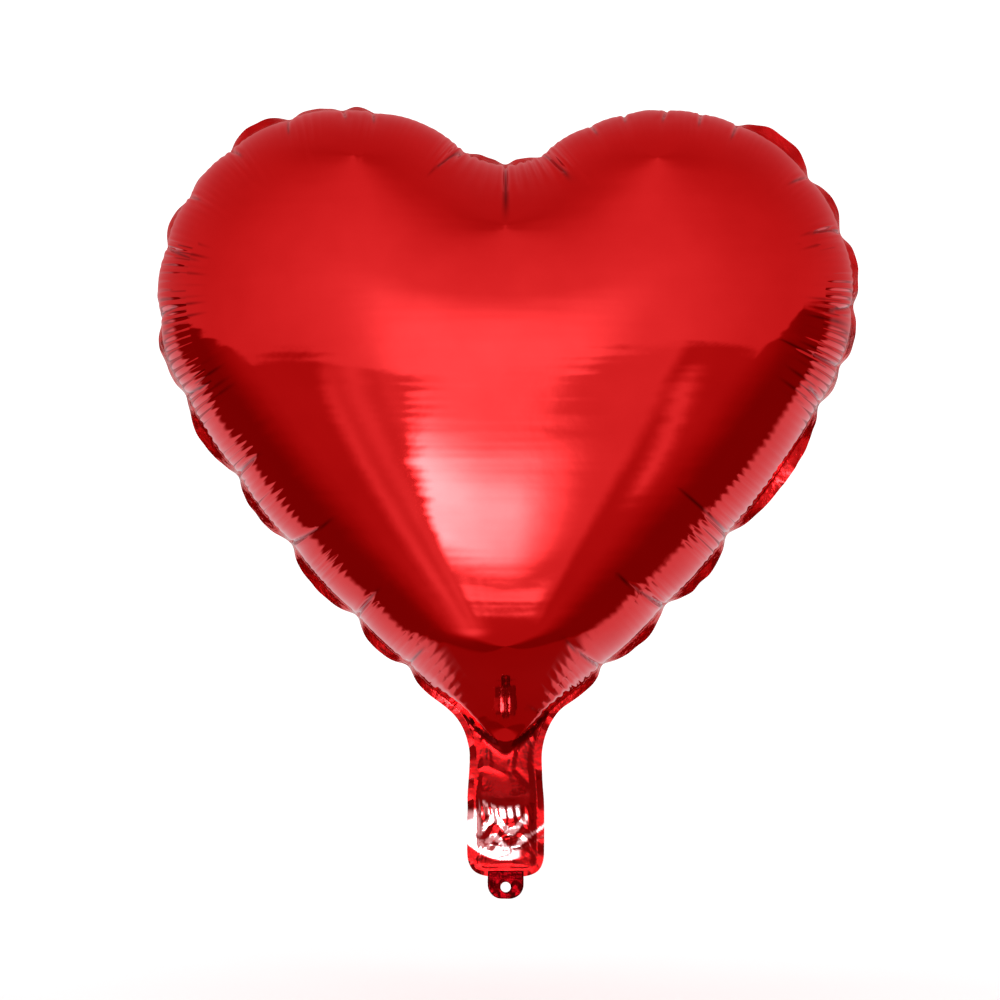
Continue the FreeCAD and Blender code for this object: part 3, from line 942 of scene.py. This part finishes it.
def ceiling_edge(azimuth):
    """Elevation at which the ceiling starts: it slopes down to both sides, then up again."""
    aside = np.abs(azimuth)
    left = azimuth < 0
    fall = np.where(left, CEILING_SLOPE_LEFT * aside, CEILING_SLOPE_RIGHT * np.maximum(azimuth - 11, 0))
    rise = np.where(left, 0.8 * np.maximum(aside - 76, 0), 1.4 * np.maximum(aside - 72, 0))
    edge = CEILING_EDGE - fall + rise
    return np.minimum(edge, 0) + np.maximum(edge, 0) * (aside < 60)


def ceiling(azimuth, elevation):
    """Brightness of the ceiling: most straight ahead, with a ridge over the window."""
    level = 0.66 + 0.34 * np.exp(-(azimuth / np.where(azimuth < 0, 62, 52)) ** 2)
    level *= 1 - 0.0028 * np.maximum(elevation, 0)
    ridge = 0.8 * np.exp(-((azimuth + 3) / 11) ** 2) * smoothstep(34, 1, elevation)
    return level + ridge


def behind(elevation):
    """Brightness behind the balloon: dim below, a lighter band, and half bright above level."""
    above_level = smoothstep(-4, 4, elevation)
    level = 0.34 + 0.32 * above_level * (1 - 0.004 * np.maximum(elevation, 0))
    return level + 0.46 * smoothstep(-52, -46, elevation) * smoothstep(-2, -8, elevation)


def glow(azimuth, elevation):
    """Brightness of the whole studio."""
    above = smoothstep(-0.9, 0.9, elevation - ceiling_edge(azimuth))
    front = above * ceiling(azimuth, elevation) + (1 - above) * lower_room(azimuth, elevation)
    back = behind_share(azimuth, elevation)
    return front * (1 - back) + back * behind(elevation)


def behind_share(azimuth, elevation):
    """0 in front of the balloon and 1 behind it; the change is sharp below the balloon's level."""
    blur = 3.5 + 26 * smoothstep(0, 8, elevation)
    aside = np.where(azimuth < 0, -azimuth, azimuth + BEHIND_SHIFT)
    return smoothstep(BEHIND_AZIMUTH - blur, BEHIND_AZIMUTH + blur, aside)


def lower_room(azimuth, elevation):
    """Brightness below the ceiling's edge: a room, a window in it and the window's sill."""
    sill = 1.3 * np.exp(-((elevation - SILL) / 1.8) ** 2)
    sill *= smoothstep(-50, -42, azimuth) * smoothstep(50, 34, azimuth)
    return room(azimuth, elevation) + window(azimuth, elevation) + sill


def room(azimuth, elevation):
    """The dim room: a lit part ahead, faint stripes on its left, a beam and a table's top."""
    aside = np.abs(azimuth)
    left_line = -40 + 0.85 * (elevation + 12)
    right_line = 33 + 0.5 * np.maximum(-elevation - 10, 0)
    lit = smoothstep(-6, 3, azimuth - left_line) * smoothstep(5, -3, azimuth - right_line)
    lit *= smoothstep(-54, -46, elevation)
    stripes = 0.07 * np.cos(0.52 * (azimuth - 0.6 * elevation)) * smoothstep(-14, -22, azimuth)
    level = 0.50 + (0.32 + stripes) * lit
    level -= 0.27 * smoothstep(64, 92, aside - np.where(azimuth < 0, 10, 0))
    beam_azimuth = 43 + 0.95 * (-elevation - 15)
    beam = 0.38 * np.exp(-((azimuth - beam_azimuth) / 4.5) ** 2)
    level += beam * smoothstep(-38, -33, elevation) * smoothstep(-10, -17, elevation)
    table = 0.62 * np.exp(-((azimuth + 68) / 24) ** 2 - ((elevation + 57) / 7) ** 2)
    return level + table


def window(azimuth, elevation):
    """A tall window that leans: sharp on the left, fading to the right, brightest low down."""
    left_side = -7 + 0.92 * elevation
    spread = np.clip(8.5 - 0.42 * (elevation + 12), 3.5, 19)
    level = smoothstep(-2.5, 2.5, azimuth - left_side) * np.exp(-0.017 * np.minimum(azimuth, 0))
    level *= np.exp(-(np.maximum(azimuth + 0.5, 0) / spread) ** 2)
    level *= 0.8 + 7.4 * smoothstep(1, -22, elevation)
    level *= smoothstep(-45, -35, elevation)
    return level * (1 - 0.018 * np.maximum(-elevation - 24, 0))


def glow_colour(azimuth, elevation):
    """The glow's red, green, blue and alpha: dim parts in front of the balloon are warm."""
    level = glow(azimuth, elevation)
    white = smoothstep(0.15, 1.5, level)
    in_front = 1 - behind_share(azimuth, elevation) + smoothstep(-46, -54, elevation)
    in_front = np.clip(in_front + smoothstep(-6, 8, elevation), 0, 1)
    cool = level * (1 - 0.97 * in_front * (1 - white))
    return np.stack([level, cool, cool, np.ones_like(level)], 1)


def glow_material():
    """Light of the colour that each point of the shell has."""
    material = bpy.data.materials.new("studio_glow")
    material.use_nodes = True
    nodes, links = material.node_tree.nodes, material.node_tree.links
    nodes.clear()
    reader = nodes.new("ShaderNodeAttribute")
    reader.attribute_name = "glow"
    light = nodes.new("ShaderNodeEmission")
    output = nodes.new("ShaderNodeOutputMaterial")
    links.new(reader.outputs["Color"], light.inputs["Color"])
    links.new(light.outputs["Emission"], output.inputs["Surface"])
    return material


def studio_dome():
    """A glowing shell round the balloon, seen only in its reflections."""
    radius = 2.3
    azimuths = np.arange(-180, 180, 1.0)
    elevations = np.arange(-90, 90.5, 1.0)
    azimuth, elevation = [grid.ravel() for grid in np.meshgrid(azimuths, elevations)]
    turn, rise = np.radians(azimuth), np.radians(elevation)
    centre = (cad_low + cad_high) / 2
    places = np.stack([
        radius * np.sin(turn) * np.cos(rise),
        -radius * np.cos(turn) * np.cos(rise),
        radius * np.sin(rise) + centre.z,
    ], 1)
    faces = grid_faces(len(elevations), len(azimuths), closed=True)
    dome = new_object("studio_dome", places.tolist(), faces, glow_material())
    set_attribute(dome.data, "glow", "FLOAT_COLOR", "color", glow_colour(azimuth, elevation))
    dome.visible_camera = False
    dome.visible_diffuse = False
    dome.visible_shadow = False


def studio_floor():
    """Pale floor under the balloon."""
    size, drop = 3.0, 0.06
    depth = cad_low.z - drop
    corners = [(-size, -size, depth), (size, -size, depth), (size, size, depth), (-size, size, depth)]
    floor = new_object("floor", corners, [(0, 1, 2, 3)], floor_material())
    floor.visible_glossy = False


def studio_world():
    """White surroundings behind the floor and the balloon."""
    world = bpy.data.worlds.new("studio")
    world.use_nodes = True
    background = world.node_tree.nodes["Background"]
    background.inputs["Color"].default_value = (1.0, 1.0, 1.0, 1.0)
    background.inputs["Strength"].default_value = 1.25
    bpy.context.scene.world = world
    bpy.context.scene.view_settings.view_transform = "Standard"


def studio_camera():
    """Level camera, straight in front of the balloon, far enough back to flatten it."""
    distance, seen_width = 2.6, 0.529
    to_left, upwards = 0.003, 0.001
    data = bpy.data.cameras.new("camera")
    data.sensor_width = 36.0
    data.lens = data.sensor_width * distance / seen_width
    camera = bpy.data.objects.new("camera", data)
    bpy.context.scene.collection.objects.link(camera)
    middle = (cad_low.z + cad_high.z) / 2
    camera.location = (-to_left, -distance, middle + upwards)
    camera.rotation_euler = (math.radians(90), 0, 0)
    bpy.context.scene.camera = camera


def balloon():
    """All the pieces: the two films, the two valve plies and the tie tab, which hangs from the tail's
    empty.
    """
    for name, side in (("front", FRONT), ("rear", REAR)):
        foil = film(f"{name}_film", side)
        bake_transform(foil)
        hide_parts(f"{name}_panel", f"tail_{name}_ply")
        ply = valve_ply(f"{name}_valve_ply", side)
        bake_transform(ply)
        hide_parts(f"valve_sleeve_{name}", f"valve_inlet_{name}")
    tab = tie_tab()
    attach(tab, "tail")


studio_world()
studio_camera()
studio_floor()
studio_dome()
balloon()
